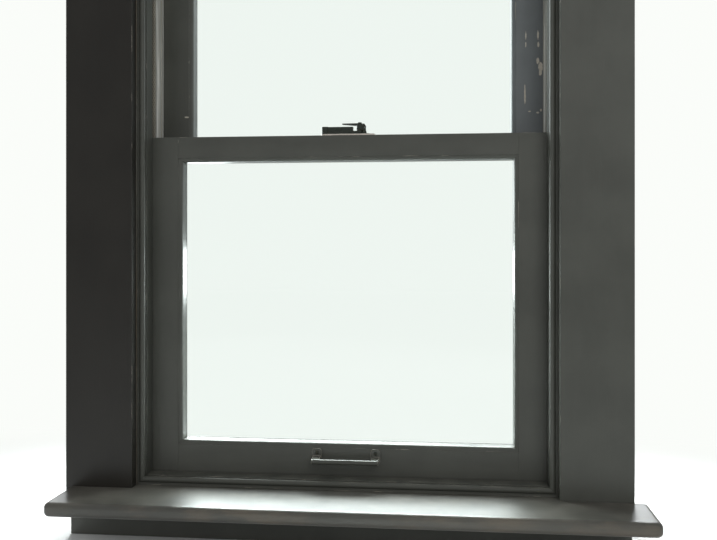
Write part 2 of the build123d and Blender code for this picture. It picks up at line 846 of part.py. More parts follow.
def make_lift():
    """A round bar between two feet, each with an arm that springs from its lower half."""
    z_arris = z_low + bottom_rail_height - mould_width
    z1 = z_arris - lift_below_arris
    z0 = z1 - lift_foot_height
    y_bar = y_lower - lift_reach + lift_bar_radius
    z_bar = z1 - lift_bar_drop
    x_foot = (lift_length - lift_foot_width) / 2
    half = lift_arm_width / 2
    foot = along_y(
        Pos(x_foot, (z0 + z1) / 2) * RectangleRounded(lift_foot_width, lift_foot_height, lift_foot_corner),
        y_lower - lift_foot_thick,
        y_lower,
    )
    y_root = y_lower - lift_foot_thick / 2
    under = (y_bar, z_bar - lift_bar_radius)
    over = (y_bar, z_bar + lift_bar_radius)
    root = (y_root, over[1] + lift_arm_root)
    toe = (y_root, z0 + lift_arm_toe)
    sag = ((y_bar + y_root) / 2 + lift_arm_toe, over[1] + lift_arm_root / 3)
    arm = outline(
        Line(toe, under),
        ThreePointArc(under, (y_bar - lift_bar_radius, z_bar), over),
        ThreePointArc(over, sag, root),
        Line(root, toe),
    )
    foot += along_x(arm, x_foot - half, x_foot + half)
    lift = foot + mirror(foot, about=Plane.YZ)
    lift += Pos(0, y_bar, z_bar) * Rot(0, 90, 0) * Cylinder(lift_bar_radius, 2 * x_foot)
    parts["sash_lift"] = Pos(furniture_offset, 0, 0) * lift


make_frame()
make_lower_sash()
make_upper_sash()
make_balance()
screws = make_fastener()
make_lift()
parts["fastener_screws"] = Compound(screws)
parts["lower_meeting_rail"] -= parts["fastener_screws"]

os.makedirs("parts", exist_ok=True)
for name, piece in parts.items():
    export_step(piece, f"parts/{name}.step")
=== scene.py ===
"""Looks of the timber box sash window: its finishes, wear, cords and fixings, on a pale studio floor."""

import math

import bpy
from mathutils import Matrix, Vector


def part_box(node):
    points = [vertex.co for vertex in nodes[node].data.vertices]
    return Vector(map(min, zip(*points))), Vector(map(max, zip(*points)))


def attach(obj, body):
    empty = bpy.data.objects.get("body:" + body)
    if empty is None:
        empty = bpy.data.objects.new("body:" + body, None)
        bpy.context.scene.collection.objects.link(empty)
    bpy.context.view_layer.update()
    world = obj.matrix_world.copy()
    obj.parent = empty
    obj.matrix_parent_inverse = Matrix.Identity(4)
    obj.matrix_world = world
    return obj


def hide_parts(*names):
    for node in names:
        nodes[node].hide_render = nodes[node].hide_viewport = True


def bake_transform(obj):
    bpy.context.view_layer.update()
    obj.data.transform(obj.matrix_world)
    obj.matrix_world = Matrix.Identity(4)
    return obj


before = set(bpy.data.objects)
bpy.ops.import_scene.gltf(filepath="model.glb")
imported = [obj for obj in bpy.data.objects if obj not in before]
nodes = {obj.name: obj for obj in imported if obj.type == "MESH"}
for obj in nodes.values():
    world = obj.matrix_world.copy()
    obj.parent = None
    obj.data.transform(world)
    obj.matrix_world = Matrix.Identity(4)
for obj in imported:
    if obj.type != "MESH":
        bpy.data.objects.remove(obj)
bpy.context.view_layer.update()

MM = 0.001
SASHES = ("lower", "upper")
SIDES = {"left": -1, "right": 1}

# Display colours, from 0 to 255: the joinery's paint and what shows on it and through it
PAINT = (64, 65, 60)
# painted shade: a darker copy of the paint for the left inner lining
PAINT_PAINTED_SHADE = (28, 26, 22)
# painted light: a lighter copy of the paint for the upper sash's right stile
PAINT_PAINTED_LIGHT = (84, 88, 89)
PAINT_ARRIS = (120, 121, 112)
UNDERCOAT = (172, 168, 158)
UNDERCOAT_DARK = (138, 130, 116)
# dirt and painted shade for corners and quirks
CORNER_DIRT_AND_SHADE = (34, 32, 27)
DUST = (142, 138, 128)

# The inner board
BOARD_DARK = (60, 60, 56)
BOARD_PALE = (76, 74, 68)
# worn nosing brown, partly a painted warm cast of room light
BOARD_NOSING_WORN_WARM_LIT = (98, 88, 75)
BOARD_RUBBED = (128, 118, 102)
# dirt and painted shade for the board's corners
BOARD_DIRT_AND_SHADE = (38, 35, 29)

# Parting beads, the tracks beside them and bare timber
BEAD_GREY = (204, 205, 199)
BEAD_STREAK = (132, 133, 127)
BEAD_LATE_WOOD = (120, 112, 96)
BEAD_ARRIS = (150, 134, 92)
# dirt and painted shade for the bead's corners
BEAD_DIRT_AND_SHADE = (42, 40, 33)
TRACK_GREY = (92, 94, 92)
TRACK_SCORED = (128, 127, 119)
# dirt and painted shade for the track's corners
TRACK_DIRT_AND_SHADE = (40, 38, 32)
BARE_PINE = (146, 118, 86)
OLD_PINE = (104, 84, 61)
FRESH_PINE = (196, 164, 120)
PINE_STAIN = (104, 84, 60)
# dirt and painted shade for the bare timber's corners
PINE_DIRT_AND_SHADE = (58, 48, 36)

# Putty and cord
PUTTY = (118, 118, 110)
PUTTY_DARK = (104, 104, 96)
PUTTY_CRACK = (58, 56, 50)
CORD_COTTON = (126, 121, 108)
# painted shade in the hollows between the cord's strands
CORD_HOLLOW_SHADE = (74, 71, 62)
CORD_HANDLED = (84, 82, 74)


def shade(rgb):
    """Scene-linear colour of a display colour from 0 to 255."""
    linear = [((c / 255 + 0.055) / 1.055) ** 2.4 if c > 10 else c / 255 / 12.92 for c in rgb]
    return (*linear, 1.0)


def lighter(colour, times):
    """A scene-linear colour made lighter, or darker with times under 1."""
    return (*(min(1.0, c * times) for c in colour[:3]), 1.0)


# Node trees


def feed(tree, socket, value):
    """Links a value to a socket if it is another node's output, and otherwise sets it."""
    if isinstance(value, bpy.types.NodeSocket):
        tree.links.new(value, socket)
    else:
        socket.default_value = value


class Graph:
    """Writes a node tree as calls; each gives back an output that the next can take."""

    def __init__(self, tree):
        self.tree = tree

    def node(self, kind, inputs=None, **settings):
        node = self.tree.nodes.new(kind)
        for key, value in settings.items():
            setattr(node, key, value)
        for key, value in (inputs or {}).items():
            feed(self.tree, node.inputs[key], value)
        return node

    def math(self, operation, a, b=0.0, clamp=False):
        return self.node("ShaderNodeMath", {0: a, 1: b}, operation=operation, use_clamp=clamp).outputs[0]

    def vector(self, operation, a, b=(0, 0, 0)):
        node = self.node("ShaderNodeVectorMath", {0: a, 1: b}, operation=operation)
        return node.outputs["Value" if operation in ("LENGTH", "DOT_PRODUCT") else "Vector"]

    def mix(self, factor, a, b):
        return self.node("ShaderNodeMix", {0: factor, 6: a, 7: b}, data_type="RGBA").outputs[2]

    def span(self, value, low, high, to_low=0.0, to_high=1.0):
        """value from low to high becomes to_low to to_high, smoothly, and stays within them."""
        keys = {"Value": value, "From Min": low, "From Max": high, "To Min": to_low, "To Max": to_high}
        return self.node("ShaderNodeMapRange", keys, interpolation_type="SMOOTHSTEP").outputs["Result"]

    def noise(self, position, scale, detail=3.0, rough=0.55):
        keys = {"Vector": position, "Scale": scale, "Detail": detail, "Roughness": rough}
        return self.node("ShaderNodeTexNoise", keys).outputs["Fac"]

    def alike(self, value):
        """A vector with one value on all three axes."""
        return self.node("ShaderNodeCombineXYZ", {0: value, 1: value, 2: value}).outputs[0]

    def parts(self, vector):
        """The three values of a vector."""
        return self.node("ShaderNodeSeparateXYZ", {0: vector}).outputs

    def use(self, group, **inputs):
        """Places an effect; its inputs are named with _ for a space."""
        keys = {label.replace("_", " "): value for label, value in inputs.items()}
        return self.node("ShaderNodeGroup", keys, node_tree=group).outputs


def effect(name, takes, gives):
    """An empty shader group with named sockets: its graph, its inputs, and a call that sets its outputs."""
    group = bpy.data.node_groups.new(name, "ShaderNodeTree")
    kinds = {float: "NodeSocketFloat", tuple: "NodeSocketVector"}
    for label, value in takes.items():
        socket = group.interface.new_socket(label, in_out="INPUT", socket_type=kinds[type(value)])
        socket.default_value = value
    for label, kind in gives.items():
        group.interface.new_socket(label, in_out="OUTPUT", socket_type="NodeSocket" + kind)
    graph = Graph(group)
    begin = graph.node("NodeGroupInput").outputs
    end = graph.node("NodeGroupOutput")

    def give(**outputs):
        for label, socket in outputs.items():
            group.links.new(socket, end.inputs[label])
        return group

    return graph, begin, give


ANYWHERE = (0.0, 0.0, 0.0)


def make_brushed_film():
    """Brush-laid paint: long ridges along the member, runs of thicker film, and cloudy gloss."""
    takes = {"Position": ANYWHERE, "Stretch": (1.0, 1.0, 1.0), "Depth": 1.0}
    g, begin, give = effect("brushed_film", takes, {"Height": "Float", "Cloud": "Float", "Streak": "Float"})
    laid = g.vector("MULTIPLY", begin["Position"], begin["Stretch"])
    wobble = g.noise(begin["Position"], 9.0, detail=2.0)
    laid = g.vector("ADD", laid, g.vector("MULTIPLY", g.alike(wobble), (0.03, 0.03, 0.03)))
    ridges = g.noise(laid, 520.0, rough=0.6)
    laps = g.noise(laid, 90.0, detail=2.0, rough=0.5)
    height = g.math("ADD", g.math("MULTIPLY", ridges, 0.45), g.math("MULTIPLY", laps, 0.55))
    cloud = g.noise(begin["Position"], 14.0, detail=4.0, rough=0.6)
    return give(Height=g.math("MULTIPLY", height, begin["Depth"]), Cloud=cloud, Streak=laps)


def make_soft_arris():
    """Arrises rounded by paint and handling, and a broken mask of the places rubbed along them."""
    takes = {"Position": ANYWHERE, "Radius": 1.2 * MM, "Rub": 0.5}
    g, begin, give = effect("soft_arris", takes, {"Normal": "Vector", "Edge": "Float", "Rubbed": "Float"})
    round_normal = g.node("ShaderNodeBevel", {"Radius": begin["Radius"]}, samples=6).outputs["Normal"]
    true_normal = g.node("ShaderNodeNewGeometry").outputs["True Normal"]
    edge = g.math("SUBTRACT", 1.0, g.vector("DOT_PRODUCT", round_normal, true_normal), clamp=True)
    edge = g.span(edge, 0.01, 0.16)
    patch = g.noise(begin["Position"], 26.0, detail=5.0, rough=0.62)
    near = g.math("SUBTRACT", 1.0, begin["Rub"])
    rubbed = g.math("ADD", patch, g.math("MULTIPLY", edge, 0.25))
    rubbed = g.span(rubbed, near, g.math("ADD", near, 0.06))
    return give(Normal=round_normal, Edge=edge, Rubbed=g.math("MULTIPLY", rubbed, edge))


def make_settled_dust():
    """Dust on what faces up, in soft drifts with specks."""
    g, begin, give = effect("settled_dust", {"Position": ANYWHERE, "Amount": 0.5}, {"Mask": "Float"})
    up = g.vector("DOT_PRODUCT", g.node("ShaderNodeNewGeometry").outputs["Normal"], (0.0, 0.0, 1.0))
    level = g.span(up, 0.55, 0.95)
    drift = g.span(g.noise(begin["Position"], 38.0, detail=5.0, rough=0.6), 0.35, 0.75)
    specks = g.span(g.noise(begin["Position"], 700.0, detail=1.0), 0.62, 0.72)
    cover = g.math("ADD", g.math("MULTIPLY", drift, 0.8), g.math("MULTIPLY", specks, 0.5), clamp=True)
    return give(Mask=g.math("MULTIPLY", g.math("MULTIPLY", cover, level), begin["Amount"]))


def make_dirt_and_painted_shade():
    """Darkening in inner corners and quirks, found by occlusion: partly dirt that gathers there, partly painted
    shade.
    """
    takes = {"Position": ANYWHERE, "Reach": 6 * MM, "Amount": 0.6}
    g, begin, give = effect("grime_and_painted_shade", takes, {"Mask": "Float"})
    # painted shade: occlusion darkens the corners, mixed in patches with dirt
    open_air = g.node("ShaderNodeAmbientOcclusion", {"Distance": begin["Reach"]}, samples=6, only_local=False)
    closed = g.math("SUBTRACT", 1.0, open_air.outputs["AO"])
    patch = g.noise(begin["Position"], 55.0, detail=4.0, rough=0.6)
    amount = g.math("MULTIPLY", g.span(closed, 0.25, 0.85), g.span(patch, 0.2, 0.7, 0.35, 1.0))
    return give(Mask=g.math("MULTIPLY", amount, begin["Amount"]))


def make_chip():
    """One ragged flake out of the paint, in an upright ellipse about its middle."""
    takes = {"Position": ANYWHERE, "Middle": ANYWHERE, "Half Size": (MM, MM, MM)}
    g, begin, give = effect("paint_chip", takes, {"Mask": "Float"})
    away = g.vector("DIVIDE", g.vector("SUBTRACT", begin["Position"], begin["Middle"]), begin["Half Size"])
    ragged = g.math("SUBTRACT", g.noise(begin["Position"], 420.0, detail=4.0, rough=0.7), 0.5)
    ragged = g.math("MULTIPLY", ragged, 1.5)
    return give(Mask=g.span(g.math("ADD", g.vector("LENGTH", away), ragged), 1.0, 0.9))


def make_grain():
    """Straight-grained softwood: growth lines across the board and fibres along it."""
    takes = {"Position": ANYWHERE, "Stretch": (1.0, 1.0, 1.0), "Line": 7 * MM}
    g, begin, give = effect("pine_grain", takes, {"Late": "Float", "Fibre": "Float"})
    laid = g.vector("MULTIPLY", begin["Position"], begin["Stretch"])
    lines = g.math("DIVIDE", 1.0, begin["Line"])
    bend = g.math("MULTIPLY", g.noise(laid, 12.0, detail=2.0), 0.03)
    place = g.parts(laid)
    across = g.math("ADD", g.math("ADD", place[0], place[1]), bend)
    wave = g.math("SINE", g.math("MULTIPLY", g.math("MULTIPLY", across, lines), 2 * math.pi))
    return give(Late=g.span(wave, 0.1, 1.0), Fibre=g.noise(laid, 900.0, rough=0.65))


BRUSHED = make_brushed_film()
ARRIS = make_soft_arris()
DUSTY = make_settled_dust()
DIRT_AND_SHADE = make_dirt_and_painted_shade()
CHIP = make_chip()
GRAIN = make_grain()

# How a pattern is drawn out along a member, by the way that the member lies
ALONG = {"x": (0.05, 1.0, 1.0), "z": (1.0, 1.0, 0.05)}


class Finish:
    """A material with its surface shader, and the object's own coordinates."""

    def __init__(self, name):
        self.material = bpy.data.materials.new(name)
        self.material.use_nodes = True
        self.graph = Graph(self.material.node_tree)
        self.surface = self.material.node_tree.nodes["Principled BSDF"]
        self.position = self.graph.node("ShaderNodeTexCoord").outputs["Object"]

    def set(self, **values):
        """Sets or links the surface's sockets, named with _ for a space."""
        for label, value in values.items():
            feed(self.graph.tree, self.surface.inputs[label.replace("_", " ")], value)

    def drawn(self, x, y, z):
        """The place on the object, stretched or squeezed along each axis."""
        return self.graph.vector("MULTIPLY", self.position, (x, y, z))

    def dirt_and_shade(self, tone, colour, **inputs):
        """The tone darkened in its corners by dirt and painted shade."""
        mask = self.graph.use(DIRT_AND_SHADE, Position=self.position, **inputs)["Mask"]
        return self.graph.mix(mask, tone, shade(colour))

    def bump(self, height, distance, normal=None):
        keys = {"Height": height, "Distance": distance, "Strength": 1.0}
        if normal is not None:
            keys["Normal"] = normal
        return self.graph.node("ShaderNodeBump", keys).outputs["Normal"]

    def blend_shader(self, factor, other):
        """Shows another shader in place of the surface, as far as the factor says."""
        tree = self.graph.tree
        both = self.graph.node("ShaderNodeMixShader", {0: factor, 1: self.surface.outputs[0], 2: other})
        tree.links.new(both.outputs[0], tree.nodes["Material Output"].inputs["Surface"])


# Flakes out of the upper sash's paint, in metres: middle across, middle up, half width, half height
UPPER_SASH_FACE = -4 * MM
CHIP_HALF_DEPTH = 4 * MM
RIGHT_CHIPS = (
    (0.2417, 0.6706, 0.0009, 0.0056),
    (0.2417, 0.6585, 0.0008, 0.0040),
    (0.2580, 0.6710, 0.0013, 0.0066),
    (0.2585, 0.6582, 0.0014, 0.0036),
    (0.2578, 0.6360, 0.0020, 0.0042),
    (0.2614, 0.6275, 0.0031, 0.0070),
    (0.2611, 0.6190, 0.0020, 0.0034),
    (0.2405, 0.5900, 0.0012, 0.0140),
    (0.2469, 0.5674, 0.0022, 0.0010),
    (0.2577, 0.5656, 0.0019, 0.0013),
    (0.2618, 0.5688, 0.0013, 0.0022),
)
LEFT_CHIPS = ((-0.2316, 0.5670, 0.0034, 0.0013),)


def paint(name, along, colour=PAINT, chips=(), gloss=0.34, rub=0.19):
    """Old oil paint on joinery, brushed out along the member, with rubbed arrises and corners darkened by dirt
    and painted shade.
    """
    f = Finish(name)
    g = f.graph
    film = g.use(BRUSHED, Position=f.position, Stretch=ALONG[along])
    arris = g.use(ARRIS, Position=f.position, Rub=rub)
    dirt_and_shade = g.use(DIRT_AND_SHADE, Position=f.position)["Mask"]
    dust = g.use(DUSTY, Position=f.position, Amount=0.25)["Mask"]
    light, dark = lighter(shade(colour), 1.12), lighter(shade(colour), 0.9)
    tone = g.mix(g.span(film["Cloud"], 0.3, 0.72), dark, light)
    tone = g.mix(g.span(film["Streak"], 0.35, 0.75, 0.0, 0.35), tone, light)
    # dirt and painted shade: corners and quirks darkened by occlusion
    tone = g.mix(dirt_and_shade, tone, shade(CORNER_DIRT_AND_SHADE))
    tone = g.mix(g.math("MULTIPLY", arris["Edge"], 0.12), tone, shade(PAINT_ARRIS))
    bare = arris["Rubbed"]
    for x, z, wide, high in chips:
        place = {"Middle": (x, UPPER_SASH_FACE, z), "Half_Size": (wide, CHIP_HALF_DEPTH, high)}
        bare = g.math("MAXIMUM", bare, g.use(CHIP, Position=f.position, **place)["Mask"])
    undercoat = g.mix(g.noise(f.position, 300.0), shade(UNDERCOAT), shade(UNDERCOAT_DARK))
    tone = g.mix(bare, tone, undercoat)
    tone = g.mix(dust, tone, shade(DUST))
    rough = g.span(film["Cloud"], 0.25, 0.75, gloss - 0.03, gloss + 0.05)
    rough = g.math("ADD", rough, g.math("MULTIPLY", g.math("MAXIMUM", bare, dust), 0.35), clamp=True)
    relief = g.math("SUBTRACT", film["Height"], g.math("MULTIPLY", bare, 1.6))
    f.set(Base_Color=tone, Roughness=rough, Normal=f.bump(relief, 0.22 * MM, arris["Normal"]))
    return f.material


def board_paint():
    """Inner board: thicker, glossier paint, wiped and scuffed, worn brown along the nosing, the brown partly a
    painted warm cast of room light.
    """
    f = Finish("board_gloss_paint")
    g = f.graph
    film = g.use(BRUSHED, Position=f.position, Stretch=ALONG["x"])
    arris = g.use(ARRIS, Position=f.position, Radius=1.5 * MM, Rub=0.3)
    dust = g.use(DUSTY, Position=f.position, Amount=0.22)["Mask"]
    along = f.drawn(0.35, 1.0, 1.0)
    blotch = g.noise(along, 11.0, detail=5.0, rough=0.6)
    tone = g.mix(g.span(blotch, 0.32, 0.7), shade(BOARD_DARK), shade(BOARD_PALE))
    y_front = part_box("window_board")[0].y
    nosing = g.span(g.parts(f.position)[1], y_front + 10 * MM, y_front + 2 * MM)
    # wear and painted warm room light along the nosing
    worn_and_warm_lit = g.math("MULTIPLY", nosing, g.span(g.noise(along, 24.0, detail=5.0, rough=0.65), 0.42, 0.62))
    tone = g.mix(g.math("MULTIPLY", worn_and_warm_lit, 0.45), tone, shade(BOARD_NOSING_WORN_WARM_LIT))
    tone = g.mix(g.math("MULTIPLY", arris["Rubbed"], 0.7), tone, shade(BOARD_RUBBED))
    # dirt and painted shade: the board's corners darkened by occlusion
    tone = f.dirt_and_shade(tone, BOARD_DIRT_AND_SHADE, Reach=12 * MM, Amount=0.7)
    tone = g.mix(dust, tone, shade(DUST))
    scuffs = g.span(g.noise(f.drawn(0.2, 1.3, 1.0), 240.0, detail=4.0, rough=0.7), 0.55, 0.8)
    rough = g.math("ADD", g.span(blotch, 0.3, 0.7, 0.36, 0.46), g.math("MULTIPLY", scuffs, 0.12))
    rough = g.math("ADD", rough, g.math("MULTIPLY", dust, 0.3), clamp=True)
    f.set(Base_Color=tone, Roughness=rough, Normal=f.bump(film["Height"], 0.16 * MM, arris["Normal"]))
    f.set(Coat_Weight=0.3, Coat_Roughness=0.28)
    return f.material


def worn_bead():
    """Parting bead: pale grey where the sash rubs it, streaked down its length, bare at the arris."""
    f = Finish("worn_parting_bead")
    g = f.graph
    arris = g.use(ARRIS, Position=f.position, Radius=0.8 * MM, Rub=0.5)
    grain = g.use(GRAIN, Position=f.position, Stretch=ALONG["z"], Line=4 * MM)
    streak = g.noise(f.drawn(1.0, 1.0, 0.012), 420.0, rough=0.6)
    tone = g.mix(g.span(streak, 0.38, 0.62), shade(BEAD_STREAK), shade(BEAD_GREY))
    tone = g.mix(g.math("MULTIPLY", grain["Late"], 0.25), tone, shade(BEAD_LATE_WOOD))
    tone = g.mix(g.math("MULTIPLY", arris["Edge"], 0.6), tone, shade(BEAD_ARRIS))
    # dirt and painted shade: the bead's corners darkened by occlusion
    tone = f.dirt_and_shade(tone, BEAD_DIRT_AND_SHADE, Reach=10 * MM, Amount=0.8)
    height = g.math("ADD", streak, grain["Fibre"])
    f.set(Base_Color=tone, Roughness=0.62, Normal=f.bump(height, 0.2 * MM, arris["Normal"]))
    return f.material


def track_timber():
    """Pulley stile: thin old grey paint, scored up and down by the sashes, with timber showing through."""
    f = Finish("scored_track_z")
    g = f.graph
    arris = g.use(ARRIS, Position=f.position, Radius=0.8 * MM, Rub=0.4)
    grain = g.use(GRAIN, Position=f.position, Stretch=ALONG["z"], Line=6 * MM)
    score = g.noise(f.drawn(1.0, 1.0, 0.008), 260.0, detail=4.0, rough=0.6)
    tone = g.mix(g.span(score, 0.35, 0.65), shade(TRACK_GREY), shade(TRACK_SCORED))
    through = g.math("MULTIPLY", g.span(score, 0.56, 0.66), 0.7)
    tone = g.mix(through, tone, g.mix(grain["Late"], shade(BARE_PINE), shade(OLD_PINE)))
    # dirt and painted shade: the track's corners darkened by occlusion
    tone = f.dirt_and_shade(tone, TRACK_DIRT_AND_SHADE, Reach=20 * MM, Amount=0.7)
    height = g.math("ADD", score, g.math("MULTIPLY", grain["Fibre"], 0.5))
    f.set(Base_Color=tone, Roughness=0.6, Normal=f.bump(height, 0.3 * MM, arris["Normal"]))
    return f.material


def bare_timber(along):
    """Unpainted softwood of the hidden boxes, darkened by age."""
    f = Finish("old_pine_" + along)
    g = f.graph
    arris = g.use(ARRIS, Position=f.position, Radius=0.6 * MM, Rub=0.2)
    grain = g.use(GRAIN, Position=f.position, Stretch=ALONG[along])
    pale = g.mix(g.span(grain["Fibre"], 0.3, 0.7), shade(BARE_PINE), shade(FRESH_PINE))
    tone = g.mix(g.math("MULTIPLY", grain["Late"], 0.75), pale, shade(OLD_PINE))
    cloud = g.noise(f.position, 7.0, detail=4.0, rough=0.6)
    tone = g.mix(g.span(cloud, 0.4, 0.8, 0.0, 0.55), tone, shade(PINE_STAIN))
    # dirt and painted shade: the timber's corners darkened by occlusion
    tone = f.dirt_and_shade(tone, PINE_DIRT_AND_SHADE, Reach=20 * MM, Amount=0.7)
    height = g.math("ADD", g.math("MULTIPLY", grain["Late"], 0.5), grain["Fibre"])
    f.set(Base_Color=tone, Roughness=0.72, Normal=f.bump(height, 0.3 * MM, arris["Normal"]))
    return f.material


def window_glass():
    """Old drawn glass: a slow ripple, a bloom of dust and a few dried drops; lamp light passes it straight."""
    f = Finish("drawn_glass")
    g = f.graph
    ripple = g.noise(f.drawn(1.0, 1.0, 0.35), 9.0, detail=2.0, rough=0.4)
    drops = g.span(g.noise(f.position, 160.0, detail=2.0), 0.70, 0.76)
    bloom = g.span(g.noise(f.position, 18.0, detail=5.0, rough=0.6), 0.45, 0.8)
    rough = g.math("ADD", g.math("MULTIPLY", bloom, 0.05), g.math("MULTIPLY", drops, 0.15))
    f.set(Base_Color=(0.95, 0.985, 0.97, 1.0), Roughness=rough, IOR=1.5, Transmission_Weight=1.0)
    f.set(Normal=f.bump(ripple, 0.4 * MM))
    ray = g.node("ShaderNodeLightPath").outputs
    gathered = g.math("MAXIMUM", ray["Is Shadow Ray"], ray["Is Glossy Ray"])
    gathered = g.math("MAXIMUM", gathered, ray["Is Diffuse Ray"])
    clear = g.node("ShaderNodeBsdfTransparent", {"Color": (0.94, 0.97, 0.96, 1.0)})
    f.blend_shader(gathered, clear.outputs[0])
    return f.material


def putty():
    """Linseed putty painted over, with fine cracks and knife marks."""
    f = Finish("painted_putty")
    g = f.graph
    arris = g.use(ARRIS, Position=f.position, Radius=MM, Rub=0.3)
    knife = g.noise(f.position, 120.0, detail=4.0, rough=0.6)
    cells = g.node("ShaderNodeTexVoronoi", {"Vector": f.position, "Scale": 130.0}, feature="DISTANCE_TO_EDGE")
    crack = g.span(cells.outputs["Distance"], 0.05, 0.0)
    tone = g.mix(g.span(knife, 0.3, 0.7), shade(PUTTY_DARK), shade(PUTTY))
    tone = g.mix(g.math("MULTIPLY", crack, 0.5), tone, shade(PUTTY_CRACK))
    height = g.math("SUBTRACT", knife, g.math("MULTIPLY", crack, 0.6))
    f.set(Base_Color=tone, Roughness=0.6, Normal=f.bump(height, 0.3 * MM, arris["Normal"]))
    return f.material


def metal(name, tarnish, bright, rub, rough, coverage=0.0, patches=90.0, metallic=1.0):
    """Metal under tarnish, rubbed bright along its edges; coverage from 0 to 1 leaves fewer bright patches."""
    f = Finish(name)
    g = f.graph
    arris = g.use(ARRIS, Position=f.position, Radius=0.6 * MM, Rub=rub)
    patch = g.noise(f.position, patches, detail=5.0, rough=0.62)
    fine = g.noise(f.position, patches * 9, rough=0.6)
    cleared = g.span(patch, 0.62 + 0.3 * coverage, 0.8 + 0.2 * coverage, 0.0, 0.35)
    shiny = g.math("MAXIMUM", arris["Rubbed"], cleared)
    tone = g.mix(shiny, shade(tarnish), shade(bright))
    tone = g.mix(g.span(fine, 0.35, 0.75, 0.0, 0.3), tone, shade(tuple(c * 0.6 for c in tarnish)))
    dull = g.span(patch, 0.3, 0.7, rough - 0.08, rough + 0.12)
    dull = g.math("SUBTRACT", dull, g.math("MULTIPLY", shiny, 0.12))
    height = g.math("ADD", patch, g.math("MULTIPLY", fine, 0.4))
    f.set(Base_Color=tone, Metallic=metallic, Roughness=dull)
    f.set(Normal=f.bump(height, 0.12 * MM, arris["Normal"]))
    return f.material


STRANDS_ROUND = 8.0
STRANDS_PER_METRE = 160.0


def cotton():
    """Braided sash cord, greyed by handling: two sets of strands crossing round the cord, with painted shade in
    the hollows between them.
    """
    f = Finish("braided_cotton")
    g = f.graph
    uv = g.parts(g.node("ShaderNodeTexCoord").outputs["UV"])
    turn = g.math("MULTIPLY", uv[0], STRANDS_ROUND * 2 * math.pi)
    climb = g.math("MULTIPLY", uv[1], STRANDS_PER_METRE * 2 * math.pi)
    one = g.math("SINE", g.math("ADD", turn, climb))
    other = g.math("SINE", g.math("SUBTRACT", turn, climb))
    braid = g.math("MAXIMUM", one, other)
    fibre = g.noise(f.position, 1500.0, detail=2.0)
    # painted shade: the hollows between the strands are coloured darker
    tone = g.mix(g.span(braid, -0.2, 0.9), shade(CORD_HOLLOW_SHADE), shade(CORD_COTTON))
    tone = g.mix(g.span(g.noise(f.position, 30.0), 0.4, 0.7, 0.0, 0.5), tone, shade(CORD_HANDLED))
    height = g.math("ADD", braid, g.math("MULTIPLY", fibre, 0.4))
    f.set(Base_Color=tone, Roughness=0.85, Normal=f.bump(height, 0.5 * MM))
    f.set(Sheen_Weight=0.2, Sheen_Roughness=0.5)
    return f.material


def make_finishes():
    """A finish for each material slot of the record; paint and timber have one for each way that they lie."""
    made = {
        "board_paint": board_paint(),
        "worn_bead": worn_bead(),
        "track_timber": track_timber(),
        "glass": window_glass(),
        "putty": putty(),
        "bronze": metal("dark_bronze", (50, 55, 49), (120, 108, 84), 0.34, 0.3, 0.6, metallic=0.35),
        # painted highlight: the plate's pale tarnish is partly its own brass colour and partly the light along
        # its edge
        "pale_brass": metal("brass_plate_painted_highlight", (208, 201, 190), (232, 225, 212), 0.5, 0.34, metallic=0.4),
        "lift_paint": paint("lift_gloss_paint", "x", gloss=0.24, rub=0.36),
        "steel": metal("screw_steel", (96, 94, 88), (170, 168, 162), 0.5, 0.34),
        "iron": metal("cast_iron", (62, 54, 46), (96, 84, 72), 0.3, 0.62, 0.5, 60.0, 0.6),
        "wheel_brass": metal("old_brass", (134, 104, 58), (196, 162, 96), 0.5, 0.36),
        "cotton": cotton(),
    }
    for along in ALONG:
        made["grey_paint_" + along] = paint("joinery_paint_" + along, along)
        made["bare_timber_" + along] = bare_timber(along)
    return made


def lies(node):
    """Which way a node is longest."""
    low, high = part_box(node)
    size = high - low
    return "xyz"[max(range(3), key=lambda i: size[i])]


def dress_nodes(finishes):
    """Gives every CAD node the finish of its slot."""
    for name, obj in nodes.items():
        for slot in obj.material_slots:
            slot_name = slot.material.name.split(".")[0]
            if slot_name not in finishes:
                slot_name += "_" + lies(name)
            slot.material = finishes[slot_name]
    special = {
        # painted light: the upper sash's right stile gets a lighter copy of the paint, with real chips
        "upper_stile_right": paint("chipped_paint_right", "z", colour=PAINT_PAINTED_LIGHT, chips=RIGHT_CHIPS),
        "upper_stile_left": paint("chipped_paint_left", "z", chips=LEFT_CHIPS),
        # painted shade: the left inner lining gets a darker copy of the paint
        "inner_lining_left": paint("painted_shade_paint", "z", colour=PAINT_PAINTED_SHADE),
    }
    for name, material in special.items():
        nodes[name].material_slots[0].material = material


# Pieces made here


def add_object(name, data):
    obj = bpy.data.objects.new(name, data)
    bpy.context.scene.collection.objects.link(obj)
    return obj


def add_mesh(name, verts, faces, material, smooth=True):
    mesh = bpy.data.meshes.new(name)
    mesh.from_pydata([tuple(v) for v in verts], [], faces)
    mesh.materials.append(material)
    mesh.polygons.foreach_set("use_smooth", [smooth] * len(mesh.polygons))
    return add_object(name, mesh)


def evaluated_mesh(obj):
    """The mesh that an object's curve or modifiers come to."""
    return bpy.data.meshes.new_from_object(obj.evaluated_get(bpy.context.evaluated_depsgraph_get()))


# Cords and their knots
RIGHT, BACK = Vector((1, 0, 0)), Vector((0, 1, 0))
CORD_SIDES = 20
BEND_STEPS = 24
CORD_IN_WEIGHT = 22 * MM
KNOT_POINTS = 14
KNOT_STRAND = 0.78
KNOT_LOOP = 0.55


